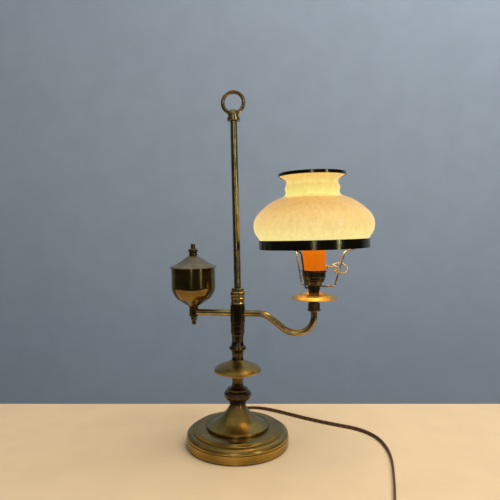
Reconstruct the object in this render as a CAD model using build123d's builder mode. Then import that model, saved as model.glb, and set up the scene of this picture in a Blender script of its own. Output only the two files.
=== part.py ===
from build123d import *

import os
from math import cos, pi, radians, sin, tan

# Student-style desk lamp: a weighted round base, a turned column on a threaded centre pipe, a
# cross arm that turns on the pipe, with a dummy oil font at its left end and a burner with an
# opal glass shade at its right end. Millimetres, +Z up, origin at the centre of the felt's
# underside, +X towards the shade.

os.makedirs("parts", exist_ok=True)

# ------------------------------------------------------------------------ driving dimensions

FELT_THICKNESS = 1.2
BASE_RADIUS = 71.0
SHELL_WALL = 1.4
SHELL_TOP = 23.7

PIPE_RADIUS = 5.0
PIPE_BORE = 3.9
PIPE_FOOT = 12.5
PIPE_TOP = 205.5
PIPE_FIT = 5.06  # bore of everything that is stacked or turns on the pipe
WINDOW_LOW = 175.0
WINDOW_HIGH = 188.5
WINDOW_EDGE_X = -1.0

ARM_HEIGHT = 181.8
CARRIER_RADIUS = 10.3
CARRIER_LOW = 168.8
CARRIER_HIGH = 193.7
CARRIER_END_WALL = 3.0
CARRIER_CAVITY = 8.3
WASHER_THICKNESS = 0.6
LOWER_FERRULE_LOW = 153.0
LOWER_FERRULE_TOP = 168.0
UPPER_FERRULE_LOW = 194.5
UPPER_FERRULE_TOP = 216.8

ARM_TUBE_RADIUS = 4.5
ARM_TUBE_BORE = 3.5
ARM_TUBE_FIT = 4.55
ARM_TUBE_START = 8.4

POLE_LEAN = 1.43  # degrees towards -X, as photographed
POLE_RADIUS = 4.9
POLE_BORE = 3.8
POLE_FIT = 4.95
POLE_FLANGE = 233.9  # height of the pole's collar above the upper ferrule
RING_RADIUS = 14.9
RING_WIRE = 2.7
RING_HEIGHT = 259.8  # height of the ring's centre above the upper ferrule, along the pole

FONT_X = -62.9
FONT_LEAN = 0.8
FONT_BODY_RADIUS = 31.0
FONT_WALL = 1.0
ROD_RADIUS = 2.9
ROD_FIT = 3.06

BURNER_X = 106.0
NIPPLE_RADIUS = 4.8
NIPPLE_BORE = 3.2
NIPPLE_FIT = 4.86
SPIDER_TURN = 8.0  # degrees from +X to the spider wire that carries the pull chain
SPIDER_WIRE = 1.2
SPIDER_HEIGHT = 221.7
SPIDER_ANGLES = {"right": SPIDER_TURN, "back": SPIDER_TURN + 120, "front": SPIDER_TURN - 120}
SLEEVE_RADIUS = 16.1
SLEEVE_BORE = 15.0

SHADE_LEAN = 1.6
BAND_FOOT = 273.0
BAND_RADIUS = 75.6
BAND_WALL = 1.0
BAND_HEIGHT = 12.4
SHELF_TOP = 6.6
SHELF_BORE = 69.5
GLASS_WALL = 2.8
BULB_WALL = 0.8

CHAIN_HEIGHT = 247.8
CHAIN_BEAD = 1.3
CHAIN_LINK = 0.5
CHAIN_PITCH = 3.3

CORD_RADIUS = 2.5
CORD_EXIT_ANGLE = 104.0  # degrees round the base from +X: behind and a little to the left
CORD_EXIT_HEIGHT = 6.8
CORD_START = 64.0  # distance of the cord's inner end from the column's axis
WIRE_RADIUS = 2.2
ARM_WIRE_RADIUS = 1.3
COIL_START = (189.0, -212.0)
COIL_PITCH = 5.7
COIL_OUTER = 38.4
COIL_INWARD_HALVES = 6
COIL_HALVES = 14
COIL_TUCK = 1.9  # how much tighter the turn is that climbs from the lower layer to the upper
COIL_LEAD = 6.0
COIL_TAIL = 34.0
TIE_THICKNESS = 0.6
TIE_WIDTH = 5.0
TIE_GAP = 0.3


# ------------------------------------------------------------------------ small helpers


def save(piece, name):
    """Label a finished piece and write it as a STEP file of that name."""
    piece.part.label = name
    export_step(piece.part, f"parts/{name}.step")


def section(x=0.0, z=0.0, lean=0.0):
    """The upright plane through an axis that leans by lean degrees towards -X about height z.

    Its local x is the radius, and its local y the height along the axis, from z."""
    across = (cos(radians(lean)), 0, sin(radians(lean)))
    return Plane(origin=(x, 0, z), x_dir=across, z_dir=(0, -1, 0))


def turn(plane, *outline, mode=Mode.ADD):
    """Turn a closed outline round the plane's axis.

    Each corner is (radius, height), or (radius, height, rounding)."""
    corners = [(corner[0], corner[1]) for corner in outline]
    roundings = [corner[2] if len(corner) > 2 else 0 for corner in outline]
    with BuildSketch(plane) as profile:
        with BuildLine():
            FilletPolyline(*corners, radius=roundings, close=True)
        make_face()
    revolve(profile.sketch, axis=Axis(plane.origin, plane.y_dir), mode=mode)


def turn_wall(plane, wall, *points, tangents=None, samples=48):
    """Turn a wall whose outer side is a smooth line through (radius, height) points.

    The points run upwards, and the inner side lies at the wall's thickness, square to them."""
    outer = Edge.make_spline([Vector(*point) for point in points], tangents=tangents)
    inner = []
    for step in range(samples + 1):
        along = outer % (step / samples)
        inner.append(outer @ (step / samples) + Vector(-along.Y, along.X) * wall)
    with BuildSketch(plane) as profile:
        with BuildLine():
            add(outer)
            Line(outer @ 1, inner[-1])
            Spline(*reversed(inner))
            Line(inner[0], outer @ 0)
        make_face()
    revolve(profile.sketch, axis=Axis(plane.origin, plane.y_dir))


def drill(origin, direction, radius, depth, mode=Mode.SUBTRACT):
    """A round hole, or a round bar, of that radius and depth from origin along direction."""
    with BuildSketch(Plane(origin=origin, z_dir=direction)) as circle:
        Circle(radius)
    extrude(circle.sketch, amount=depth, mode=mode)


def hexagon(height, thickness, across_flats, bore, x=0.0):
    """A hexagon nut on an upright axis."""
    with BuildSketch(Plane(origin=(x, 0, height))) as outline:
        RegularPolygon(radius=across_flats / 2, side_count=6, major_radius=False)
        Circle(bore, mode=Mode.SUBTRACT)
    extrude(outline.sketch, amount=thickness)


def around(centre_x, angle, radius, height):
    """A point by its angle in degrees and its distance from an upright axis at centre_x."""
    turned = radians(angle)
    return Vector(centre_x + radius * cos(turned), radius * sin(turned), height)


COLUMN = section()
POLE = section(0, UPPER_FERRULE_TOP, POLE_LEAN)
FONT = section(FONT_X, ARM_HEIGHT, FONT_LEAN)
BURNER = section(BURNER_X)
SHADE = section(BURNER_X, BAND_FOOT, SHADE_LEAN)
CORD_WAY = around(0, CORD_EXIT_ANGLE, 1, 0)
CHAIN_WAY = around(0, SPIDER_TURN, 1, 0)
# Local x is upright, and local y the distance from the column along the cord's way out.
CORD_EXIT = Plane(
    origin=(0, 0, CORD_EXIT_HEIGHT),
    x_dir=(0, 0, 1),
    z_dir=Vector(0, 0, 1).cross(CORD_WAY),
)

# ------------------------------------------------------------------------ base

with BuildPart() as base_felt:
    turn(COLUMN, (0, 0), (69.6, 0), (69.6, FELT_THICKNESS), (0, FELT_THICKNESS))
save(base_felt, "base_felt")

with BuildPart() as base_shell:
    turn(
        COLUMN,
        (BASE_RADIUS - SHELL_WALL, FELT_THICKNESS),
        (BASE_RADIUS, FELT_THICKNESS, 0.4),
        (BASE_RADIUS, 11.8, 0.4),
        (69.9, 12.3),
        (70.8, 12.8),
        (70.8, 19.7, 6.6),
        (61.4, 19.7, 1.0),
        (60.5, SHELL_TOP, 0.8),
        (PIPE_FIT, SHELL_TOP),
        (PIPE_FIT, SHELL_TOP - SHELL_WALL),
        (59.0, SHELL_TOP - SHELL_WALL, 0.5),
        (59.8, 18.2, 1.0),
        (69.0, 18.2, 5.2),
        (69.0, 12.2),
        (BASE_RADIUS - SHELL_WALL, 11.0),
    )
    drill(CORD_WAY * 60 + Vector(0, 0, CORD_EXIT_HEIGHT), CORD_WAY, 3.7, 15)
save(base_shell, "base_shell")

WEIGHT_RADIUS = 57.5
WEIGHT_FOOT = 6.0
RECESS_RADIUS = 13.0
RECESS_TOP = 17.6
GROOVE_WIDTH = 7.0
GROOVE_TOP = 10.2

with BuildPart() as base_weight:
    turn(
        COLUMN,
        (RECESS_RADIUS, WEIGHT_FOOT),
        (WEIGHT_RADIUS, WEIGHT_FOOT, 1.5),
        (WEIGHT_RADIUS, SHELL_TOP - SHELL_WALL, 1.5),
        (PIPE_FIT, SHELL_TOP - SHELL_WALL),
        (PIPE_FIT, RECESS_TOP),
        (RECESS_RADIUS, RECESS_TOP),
    )
    # the groove under the weight in which the wire runs to the pipe
    groove_plane = Plane(origin=(0, 0, 0), x_dir=CORD_WAY, z_dir=(0, 0, 1))
    with BuildSketch(groove_plane):
        with Locations((35, 0)):
            Rectangle(70, GROOVE_WIDTH)
    extrude(amount=GROOVE_TOP, mode=Mode.SUBTRACT)
save(base_weight, "base_weight")

with BuildPart() as base_washer:
    turn(COLUMN, (PIPE_FIT, 16.4), (11, 16.4), (11, RECESS_TOP), (PIPE_FIT, RECESS_TOP))
save(base_washer, "base_washer")

with BuildPart() as base_nut:
    hexagon(13.0, 3.4, 16.0, PIPE_FIT)
save(base_nut, "base_nut")

BELL_FOOT = 23.8
BELL_RIM = 43.3
KNOP_LOW = 56.0

with BuildPart() as base_bell:
    turn_wall(
        COLUMN,
        SHELL_WALL,
        (42.4, 27.2),
        (33.0, 30.8),
        (25.0, 35.8),
        (18.3, 42.8),
        (14.3, 48.0),
        (11.5, 53.0),
        (10.4, KNOP_LOW),
    )
    turn(
        COLUMN,
        (BELL_RIM - 2.4, BELL_FOOT),
        (BELL_RIM, BELL_FOOT),
        (BELL_RIM, 27.5, 0.8),
        (41.8, 28.0, 0.3),
        (BELL_RIM - 2.4, 26.4),
    )
    turn(COLUMN, (PIPE_FIT, 53.6), (9.9, 53.6), (9.9, KNOP_LOW), (PIPE_FIT, KNOP_LOW))
save(base_bell, "base_bell")

# ------------------------------------------------------------------------ centre pipe and wire

with BuildPart() as center_pipe:
    turn(
        COLUMN,
        (PIPE_BORE, PIPE_FOOT),
        (PIPE_RADIUS, PIPE_FOOT),
        (PIPE_RADIUS, PIPE_TOP),
        (PIPE_BORE, PIPE_TOP),
    )
    # the window through which the wire turns with the arm
    window_plane = Plane(origin=(WINDOW_EDGE_X, 0, WINDOW_LOW))
    with BuildSketch(window_plane):
        with Locations((PIPE_RADIUS, 0)):
            Rectangle(2 * PIPE_RADIUS, 3 * PIPE_RADIUS)
    extrude(amount=WINDOW_HIGH - WINDOW_LOW, mode=Mode.SUBTRACT)
save(center_pipe, "center_pipe")

with BuildPart() as column_wire:
    with BuildLine() as column_wire_way:
        FilletPolyline(
            CORD_WAY * (CORD_START - 0.1) + Vector(0, 0, CORD_EXIT_HEIGHT),
            (0, 0, CORD_EXIT_HEIGHT),
            (0, 0, ARM_HEIGHT - ARM_WIRE_RADIUS - 0.2),
            radius=8,
        )
    with BuildSketch(column_wire_way.line ^ 0):
        Circle(WIRE_RADIUS)
    sweep()
save(column_wire, "column_wire")

# ------------------------------------------------------------------------ turned column

KNOP_TOP = 80.0
SPOOL_RADIUS = 7.8
SAUCER_LOW = 92.0
SAUCER_SEAM = 102.6
SAUCER_TOP = 116.7
SAUCER_RADIUS = 32.7

with BuildPart() as lower_knop:
    turn(
        COLUMN,
        (PIPE_FIT, KNOP_LOW),
        (12.0, KNOP_LOW, 0.6),
        (12.3, 57.6, 0.6),
        (11.5, 59.4, 0.8),
        (16.8, 62.8, 2.0),
        (18.9, 65.6, 2.0),
        (18.9, 70.4, 2.0),
        (17.2, 73.0, 1.0),
        (14.2, 73.6),
        (14.2, 77.2, 0.8),
        (10.2, 78.4, 1.0),
        (8.3, KNOP_TOP),
        (PIPE_FIT, KNOP_TOP),
    )
save(lower_knop, "lower_knop")

with BuildPart() as lower_spool:
    turn(
        COLUMN,
        (PIPE_FIT, KNOP_TOP),
        (8.3, KNOP_TOP),
        (7.5, 86.0, 14),
        (8.3, SAUCER_LOW),
        (PIPE_FIT, SAUCER_LOW),
    )
save(lower_spool, "lower_spool")

with BuildPart() as saucer_under:
    turn(
        COLUMN,
        (PIPE_FIT, SAUCER_LOW),
        (8.6, SAUCER_LOW, 0.4),
        (9.4, 94.6, 1.5),
        (20.0, 97.0, 20),
        (SAUCER_RADIUS, SAUCER_SEAM - 1.6, 0.3),
        (SAUCER_RADIUS, SAUCER_SEAM),
        (SAUCER_RADIUS - 1.8, SAUCER_SEAM),
        (20.0, 98.4, 20),
        (9.0, 96.0, 1.0),
        (PIPE_FIT, 96.0),
    )
save(saucer_under, "saucer_under")

with BuildPart() as saucer_top:
    turn(
        COLUMN,
        (SAUCER_RADIUS - 1.8, SAUCER_SEAM + 0.02),
        (SAUCER_RADIUS, SAUCER_SEAM + 0.02),
        (SAUCER_RADIUS, 103.8, 0.8),
        (30.2, 106.4, 3),
        (24.4, 109.4, 12),
        (16.8, 112.4, 12),
        (11.2, 115.0, 6),
        (8.6, SAUCER_TOP, 0.4),
        (PIPE_FIT, SAUCER_TOP),
        (PIPE_FIT, SAUCER_TOP - 1.3),
        (8.2, SAUCER_TOP - 1.3),
        (10.6, 113.8, 6),
        (16.4, 111.2, 12),
        (23.8, 108.2, 12),
        (29.4, 105.4, 3),
    )
save(saucer_top, "saucer_top")

with BuildPart() as collar_spool:
    turn(
        COLUMN,
        (PIPE_FIT, SAUCER_TOP),
        (8.4, SAUCER_TOP),
        (7.6, 121.0, 12),
        (8.2, 126.8, 2.0),
        (9.2, 129.4, 1.5),
        (11.5, 131.4, 0.8),
        (12.0, 133.1, 0.8),
        (11.5, 134.8, 0.8),
        (9.1, 136.8, 1.5),
        (8.0, 142.0, 8),
        (8.2, 150.6, 3),
        (9.0, LOWER_FERRULE_LOW),
        (PIPE_FIT, LOWER_FERRULE_LOW),
    )
save(collar_spool, "collar_spool")

with BuildPart() as lower_ferrule:
    turn(
        COLUMN,
        (PIPE_FIT, LOWER_FERRULE_LOW),
        (9.2, LOWER_FERRULE_LOW),
        (9.2, 155.2),
        (9.9, 155.8, 0.4),
        (9.9, 157.4, 0.4),
        (9.4, 158.0),
        (9.4, 162.6),
        (9.9, 163.2, 0.4),
        (9.9, 164.8, 0.4),
        (9.5, 165.4),
        (9.5, LOWER_FERRULE_TOP),
        (PIPE_FIT, LOWER_FERRULE_TOP),
    )
save(lower_ferrule, "lower_ferrule")

with BuildPart() as swivel_washers:
    for foot in (LOWER_FERRULE_TOP, UPPER_FERRULE_LOW - WASHER_THICKNESS):
        turn(
            COLUMN,
            (PIPE_FIT, foot),
            (9.0, foot),
            (9.0, foot + WASHER_THICKNESS),
            (PIPE_FIT, foot + WASHER_THICKNESS),
        )
save(swivel_washers, "swivel_washers")

FERRULE_CAVITY = 7.6
FERRULE_FLOOR = 198.0

with BuildPart() as upper_ferrule:
    turn(
        COLUMN,
        (PIPE_FIT, UPPER_FERRULE_LOW),
        (9.4, UPPER_FERRULE_LOW),
        (9.8, 194.9, 0.3),
        (9.8, 196.4, 0.3),
        (9.3, 197.0),
        (9.3, 201.3),
        (9.8, 201.9, 0.3),
        (9.8, 203.3, 0.3),
        (9.4, 203.9),
        (9.4, 206.2),
        (10.2, 207.2, 1.0),
        (10.2, 210.8, 1.0),
        (8.8, 212.2),
        (8.8, UPPER_FERRULE_TOP, 0.5),
        (FERRULE_CAVITY, UPPER_FERRULE_TOP),
        (FERRULE_CAVITY, FERRULE_FLOOR),
        (PIPE_FIT, FERRULE_FLOOR),
    )
save(upper_ferrule, "upper_ferrule")

with BuildPart() as pipe_top_nut:
    hexagon(FERRULE_FLOOR, 4.5, 12.4, PIPE_FIT)
save(pipe_top_nut, "pipe_top_nut")

BUSHING_LOW = 206.6

with BuildPart() as pole_bushing:
    turn(
        COLUMN,
        (0, BUSHING_LOW),
        (FERRULE_CAVITY - 0.05, BUSHING_LOW),
        (FERRULE_CAVITY - 0.05, UPPER_FERRULE_TOP),
        (0, UPPER_FERRULE_TOP),
    )
    turn(POLE, (0, -12), (POLE_FIT, -12), (POLE_FIT, 2), (0, 2), mode=Mode.SUBTRACT)
save(pole_bushing, "pole_bushing")

# ------------------------------------------------------------------------ pole and carry ring

COLLAR_SOCKET = 241.5
RING_CENTRE = POLE.from_local_coords((0, RING_HEIGHT))
RING_AXIS = Axis(RING_CENTRE, (0, 1, 0))


def carry_ring_solid(wire, mode=Mode.ADD):
    """The ring's round wire, turned about the ring's own axis."""
    with BuildSketch(Plane(origin=RING_CENTRE)) as wire_section:
        with Locations((RING_RADIUS, 0)):
            Circle(wire)
    revolve(wire_section.sketch, axis=RING_AXIS, mode=mode)


with BuildPart() as pole:
    turn(
        POLE,
        (POLE_BORE, -9),
        (POLE_RADIUS, -9),
        (POLE_RADIUS, COLLAR_SOCKET - 0.3),
        (POLE_BORE, COLLAR_SOCKET - 0.3),
    )
save(pole, "pole")

with BuildPart() as pole_collar:
    turn(
        POLE,
        (POLE_FIT, POLE_FLANGE),
        (9.1, POLE_FLANGE, 0.8),
        (9.1, 238.4, 0.8),
        (7.8, 239.4),
        (7.6, 244.0, 3.0),
        (5.2, 248.6, 1.0),
        (4.0, 249.6),
        (0, 249.6),
        (0, COLLAR_SOCKET),
        (POLE_FIT, COLLAR_SOCKET),
    )
    carry_ring_solid(RING_WIRE + 0.05, mode=Mode.SUBTRACT)
save(pole_collar, "pole_collar")

with BuildPart() as carry_ring:
    carry_ring_solid(RING_WIRE)
save(carry_ring, "carry_ring")

# ------------------------------------------------------------------------ turning arm

with BuildPart() as arm_carrier:
    turn(
        COLUMN,
        (PIPE_FIT, CARRIER_LOW),
        (CARRIER_RADIUS, CARRIER_LOW, 0.4),
        (CARRIER_RADIUS, CARRIER_HIGH, 0.4),
        (PIPE_FIT, CARRIER_HIGH),
        (PIPE_FIT, CARRIER_HIGH - CARRIER_END_WALL),
        (CARRIER_CAVITY, CARRIER_HIGH - CARRIER_END_WALL),
        (CARRIER_CAVITY, CARRIER_LOW + CARRIER_END_WALL),
        (PIPE_FIT, CARRIER_LOW + CARRIER_END_WALL),
    )
    drill((-12, 0, ARM_HEIGHT), (1, 0, 0), ARM_TUBE_FIT, 24)
save(arm_carrier, "arm_carrier")

COUPLING_POCKET_X = FONT_X + 3.4
COUPLING_LOW = -5.4

with BuildPart() as font_arm_tube:
    with BuildSketch(Plane(origin=(COUPLING_POCKET_X + 0.1, 0, ARM_HEIGHT), z_dir=(1, 0, 0))):
        Circle(ARM_TUBE_RADIUS)
        Circle(ARM_TUBE_BORE, mode=Mode.SUBTRACT)
    extrude(amount=-ARM_TUBE_START - COUPLING_POCKET_X - 0.1)
save(font_arm_tube, "font_arm_tube")

with BuildPart() as font_coupling:
    turn(
        FONT,
        (ROD_FIT, COUPLING_LOW),
        (6.4, COUPLING_LOW, 0.4),
        (6.4, 9.0, 0.4),
        (7.6, 9.8),
        (ROD_FIT, 9.8),
    )
    drill((COUPLING_POCKET_X, 0, ARM_HEIGHT), (1, 0, 0), ARM_TUBE_FIT, 10)
save(font_coupling, "font_coupling")

# Heights on the font's axis are measured from the arm.
FONT_MOUTH = 63.0
LID_TOP = 79.8
ROD_LOW = -9.2
ROD_TOP = 90.2

with BuildPart() as font_body:
    turn(
        FONT,
        (ROD_FIT, 9.8),
        (9.2, 9.8, 0.5),
        (16.2, 14.7, 6),
        (24.1, 19.8, 2),
        (28.2, 26.0, 10),
        (FONT_BODY_RADIUS, 33.0, 14),
        (FONT_BODY_RADIUS, FONT_MOUTH),
        (FONT_BODY_RADIUS - FONT_WALL, FONT_MOUTH),
        (FONT_BODY_RADIUS - FONT_WALL, 33.3, 14),
        (27.3, 26.6, 10),
        (23.4, 20.6, 2),
        (15.6, 15.6, 6),
        (8.9, 10.8, 0.5),
        (ROD_FIT, 10.8),
    )
save(font_body, "font_body")

with BuildPart() as font_lid:
    turn(
        FONT,
        (ROD_FIT, LID_TOP),
        (6.0, LID_TOP, 0.6),
        (8.4, 78.5, 3),
        (13.4, 74.9, 12),
        (21.8, 69.4, 12),
        (27.4, 66.7, 2),
        (32.4, 64.9, 0.6),
        (32.8, 64.2, 0.3),
        (32.8, FONT_MOUTH + 0.02, 0.3),
        (29.7, FONT_MOUTH + 0.02),
        (29.7, 60.0),
        (28.7, 60.0),
        (28.7, 64.0),
        (26.4, 65.9, 2),
        (21.0, 68.4, 12),
        (12.8, 73.8, 11),
        (7.9, 77.4, 2),
        (5.8, 78.7),
        (ROD_FIT, 78.7),
    )
save(font_lid, "font_lid")

with BuildPart() as font_knob:
    turn(
        FONT,
        (ROD_FIT, LID_TOP),
        (5.9, LID_TOP, 0.6),
        (5.9, 83.6, 0.6),
        (4.7, 84.4),
        (7.1, 85.6, 0.8),
        (7.1, 88.0, 0.8),
        (4.2, 90.0),
        (3.2, 91.2, 0.5),
        (3.2, 96.6, 0.8),
        (0, 96.6),
        (0, ROD_TOP + 0.2),
        (ROD_FIT, ROD_TOP + 0.2),
    )
save(font_knob, "font_knob")

with BuildPart() as font_finial:
    turn(
        FONT,
        (ROD_FIT, COUPLING_LOW),
        (5.6, COUPLING_LOW),
        (5.6, -6.2, 0.3),
        (4.1, -7.2),
        (4.4, -10.4, 0.6),
        (2.6, -12.2),
        (3.3, -13.4, 0.8),
        (3.3, -15.8, 1.2),
        (1.6, -18.2, 1.0),
        (0, -18.2),
        (0, ROD_LOW - 0.2),
        (ROD_FIT, ROD_LOW - 0.2),
    )
save(font_finial, "font_finial")

with BuildPart() as font_rod:
    turn(FONT, (0, ROD_LOW), (ROD_RADIUS, ROD_LOW), (ROD_RADIUS, ROD_TOP), (0, ROD_TOP))
save(font_rod, "font_rod")

# The lamp arm: level out of the carrier, down at about 39 degrees, along and up to the burner.
ARM_BEND_X = 39.2
ARM_FOOT_X = 70.9
ARM_FOOT_HEIGHT = 156.5
ARM_TUBE_END = 190.0
ARM_BENDS = [30, 30, 23]
ARM_CORNERS = [
    (ARM_BEND_X, 0, ARM_HEIGHT),
    (ARM_FOOT_X, 0, ARM_FOOT_HEIGHT),
    (BURNER_X, 0, ARM_FOOT_HEIGHT),
]

with BuildPart() as lamp_arm_tube:
    with BuildLine() as arm_way:
        FilletPolyline(
            (ARM_TUBE_START, 0, ARM_HEIGHT),
            *ARM_CORNERS,
            (BURNER_X, 0, ARM_TUBE_END),
            radius=ARM_BENDS,
        )
    with BuildSketch(arm_way.line ^ 0):
        Circle(ARM_TUBE_RADIUS)
        Circle(ARM_TUBE_BORE, mode=Mode.SUBTRACT)
    sweep()
save(lamp_arm_tube, "lamp_arm_tube")

with BuildPart() as arm_wire:
    with BuildLine() as arm_wire_way:
        FilletPolyline((0, 0, ARM_HEIGHT), *ARM_CORNERS, (BURNER_X, 0, 231), radius=ARM_BENDS)
    with BuildSketch(arm_wire_way.line ^ 0):
        Circle(ARM_WIRE_RADIUS)
    sweep()
save(arm_wire, "arm_wire")

# ------------------------------------------------------------------------ burner

CUP_TOP = 205.2
STEM_LOW = 206.3
HUB_LOW = 215.8
CAP_LOW = 222.9
NIPPLE_LOW = 191.0
NIPPLE_TOP = 226.8

with BuildPart() as arm_cup:
    turn(
        BURNER,
        (ARM_TUBE_FIT, 186.0),
        (5.6, 186.0, 0.4),
        (6.6, 187.2),
        (9.4, 187.9, 0.4),
        (9.4, 189.2, 0.4),
        (8.4, 189.8),
        (8.1, 198.2, 0.6),
        (6.4, 199.2),
        (6.4, CUP_TOP),
        (NIPPLE_FIT, CUP_TOP),
        (NIPPLE_FIT, 190.8),
        (ARM_TUBE_FIT, 190.8),
    )
save(arm_cup, "arm_cup")

with BuildPart() as burner_nipple:
    turn(
        BURNER,
        (NIPPLE_BORE, NIPPLE_LOW),
        (NIPPLE_RADIUS, NIPPLE_LOW),
        (NIPPLE_RADIUS, NIPPLE_TOP),
        (NIPPLE_BORE, NIPPLE_TOP),
    )
save(burner_nipple, "burner_nipple")

with BuildPart() as drip_tray:
    turn(
        BURNER,
        (NIPPLE_FIT, CUP_TOP),
        (11.4, CUP_TOP, 1.0),
        (14.6, 206.9, 2.0),
        (18.2, 209.6, 1.2),
        (24.6, 208.0, 12),
        (31.3, 204.0, 0.3),
        (32.0, 204.8, 0.3),
        (25.0, 209.2, 12),
        (18.1, 210.9, 2.0),
        (13.8, 207.9, 2.0),
        (10.8, STEM_LOW, 1.0),
        (NIPPLE_FIT, STEM_LOW),
    )
save(drip_tray, "drip_tray")

with BuildPart() as burner_stem:
    turn(
        BURNER,
        (NIPPLE_FIT, STEM_LOW),
        (7.9, STEM_LOW),
        (7.9, 207.4),
        (7.4, 207.9),
        (7.4, 214.6),
        (7.9, HUB_LOW),
        (NIPPLE_FIT, HUB_LOW),
    )
save(burner_stem, "burner_stem")

HUB_RADIUS = 8.4
HUB_RIBS = 20

with BuildPart() as spider_hub:
    turn(
        BURNER,
        (NIPPLE_FIT, HUB_LOW),
        (HUB_RADIUS, HUB_LOW, 0.5),
        (HUB_RADIUS, CAP_LOW, 0.5),
        (NIPPLE_FIT, CAP_LOW),
    )
    with BuildSketch(Plane(origin=(BURNER_X, 0, HUB_LOW))):
        with PolarLocations(HUB_RADIUS + 0.2, HUB_RIBS):
            Circle(0.6)
    extrude(amount=CAP_LOW - HUB_LOW - 2.6, mode=Mode.SUBTRACT)
    for hub_angle in SPIDER_ANGLES.values():
        hole_start = around(BURNER_X, hub_angle, 6.5, SPIDER_HEIGHT - 0.6)
        drill(hole_start, around(0, hub_angle, 1, 0), SPIDER_WIRE + 0.05, 4)
save(spider_hub, "spider_hub")


def spider_wire_way(angle):
    """The middle line of a spider wire: out from the hub, up beside the socket, out to the band.

    The band leans, so the wire's end is as high as the band is at that angle."""
    foot = SPIDER_HEIGHT - 0.6
    reach = BAND_RADIUS - BAND_WALL - 0.5
    band_height = BAND_FOOT + 3.0 + reach * cos(radians(angle)) * tan(radians(SHADE_LEAN))
    stations = [(6.7, foot), (28.4, foot), (42.2, 268.5), (reach, band_height)]
    points = [around(BURNER_X, angle, radius, height) for radius, height in stations]
    return FilletPolyline(*points, radius=[3.5, 9])


for wire_side, wire_angle in SPIDER_ANGLES.items():
    with BuildPart() as spider_wire:
        with BuildLine() as wire_way:
            spider_wire_way(wire_angle)
        with BuildSketch(wire_way.line ^ 0):
            Circle(SPIDER_WIRE)
        sweep()
    save(spider_wire, f"spider_wire_{wire_side}")

with BuildPart() as shade_band:
    turn(
        SHADE,
        (BAND_RADIUS - BAND_WALL, 0),
        (BAND_RADIUS, 0, 0.3),
        (BAND_RADIUS, BAND_HEIGHT, 0.3),
        (BAND_RADIUS - BAND_WALL, BAND_HEIGHT, 0.3),
        (BAND_RADIUS - BAND_WALL, SHELF_TOP),
        (SHELF_BORE, SHELF_TOP),
        (SHELF_BORE, SHELF_TOP - BAND_WALL),
        (BAND_RADIUS - BAND_WALL, SHELF_TOP - BAND_WALL),
    )
save(shade_band, "shade_band")

with BuildPart() as socket_cap:
    turn(
        BURNER,
        (NIPPLE_FIT, CAP_LOW),
        (10.6, CAP_LOW, 0.5),
        (11.2, 226.4),
        (13.6, 227.0, 0.3),
        (13.9, 228.8, 0.3),
        (13.2, 229.3),
        (14.8, 229.9, 0.6),
        (15.2, 233.4),
        (16.0, 234.2, 0.5),
        (16.4, 240.8),
        (17.2, 241.4, 0.3),
        (17.2, 243.4, 0.3),
        (16.2, 243.4),
        (16.2, 242.0),
        (15.3, 242.0),
        (15.0, 235.2),
        (14.2, 234.4),
        (13.8, 230.9),
        (12.3, 230.3),
        (12.0, 228.2),
        (10.2, 227.6),
        (9.8, CAP_LOW + 1.0),
        (NIPPLE_FIT, CAP_LOW + 1.0),
    )
save(socket_cap, "socket_cap")

with BuildPart() as burner_nut:
    hexagon(CAP_LOW + 1.0, 2.4, 13.0, NIPPLE_FIT, BURNER_X)
save(burner_nut, "burner_nut")

INSULATOR_LOW = 236.0
INSULATOR_TOP = 246.0

with BuildPart() as socket_insulator:
    turn(
        BURNER,
        (2.0, INSULATOR_LOW),
        (14.2, INSULATOR_LOW),
        (14.6, 240.0),
        (14.6, INSULATOR_TOP, 0.5),
        (2.0, INSULATOR_TOP),
    )
save(socket_insulator, "socket_insulator")

with BuildPart() as terminal_screws:
    for side_x in (-8.0, 8.0):
        drill((BURNER_X + side_x, 0, 234.1), (0, 0, 1), 2.6, 1.85, mode=Mode.ADD)
        with BuildSketch(Plane(origin=(BURNER_X + side_x, 0, 234.1))):
            Rectangle(6, 0.7)
        extrude(amount=0.8, mode=Mode.SUBTRACT)
save(terminal_screws, "terminal_screws")

with BuildPart() as socket_contact:
    turn(
        BURNER,
        (0, INSULATOR_TOP),
        (4.0, INSULATOR_TOP),
        (4.0, INSULATOR_TOP + 0.8),
        (1.6, 248.2, 0.6),
        (0, 248.2),
    )
save(socket_contact, "socket_contact")

with BuildPart() as socket_screw_shell:
    turn(
        BURNER,
        (11.0, INSULATOR_TOP),
        (14.0, INSULATOR_TOP),
        (14.0, 271.0, 0.2),
        (13.35, 271.0, 0.2),
        (13.35, INSULATOR_TOP + 0.7),
        (11.0, INSULATOR_TOP + 0.7),
    )
save(socket_screw_shell, "socket_screw_shell")

with BuildPart() as socket_sleeve:
    turn(
        BURNER,
        (SLEEVE_BORE, 242.1),
        (SLEEVE_RADIUS, 242.1),
        (SLEEVE_RADIUS, 283.0, 0.4),
        (SLEEVE_BORE, 283.0, 0.4),
    )
    drill(around(BURNER_X, SPIDER_TURN, 12, CHAIN_HEIGHT), CHAIN_WAY, 2.2, 6)
save(socket_sleeve, "socket_sleeve")

# The bell mouth's section: local x is upright, and local y the distance from the burner's axis.
CHAIN_MOUTH = Plane(
    origin=(BURNER_X, 0, CHAIN_HEIGHT),
    x_dir=(0, 0, 1),
    z_dir=Vector(0, 0, 1).cross(CHAIN_WAY),
)

with BuildPart() as chain_bellmouth:
    turn(
        CHAIN_MOUTH,
        (1.6, 14.7),
        (2.15, 14.7),
        (2.15, 17.4, 1.0),
        (2.9, 19.0),
        (2.4, 19.3),
        (1.6, 18.0, 1.0),
    )
save(chain_bellmouth, "chain_bellmouth")

# ------------------------------------------------------------------------ pull chain

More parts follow.
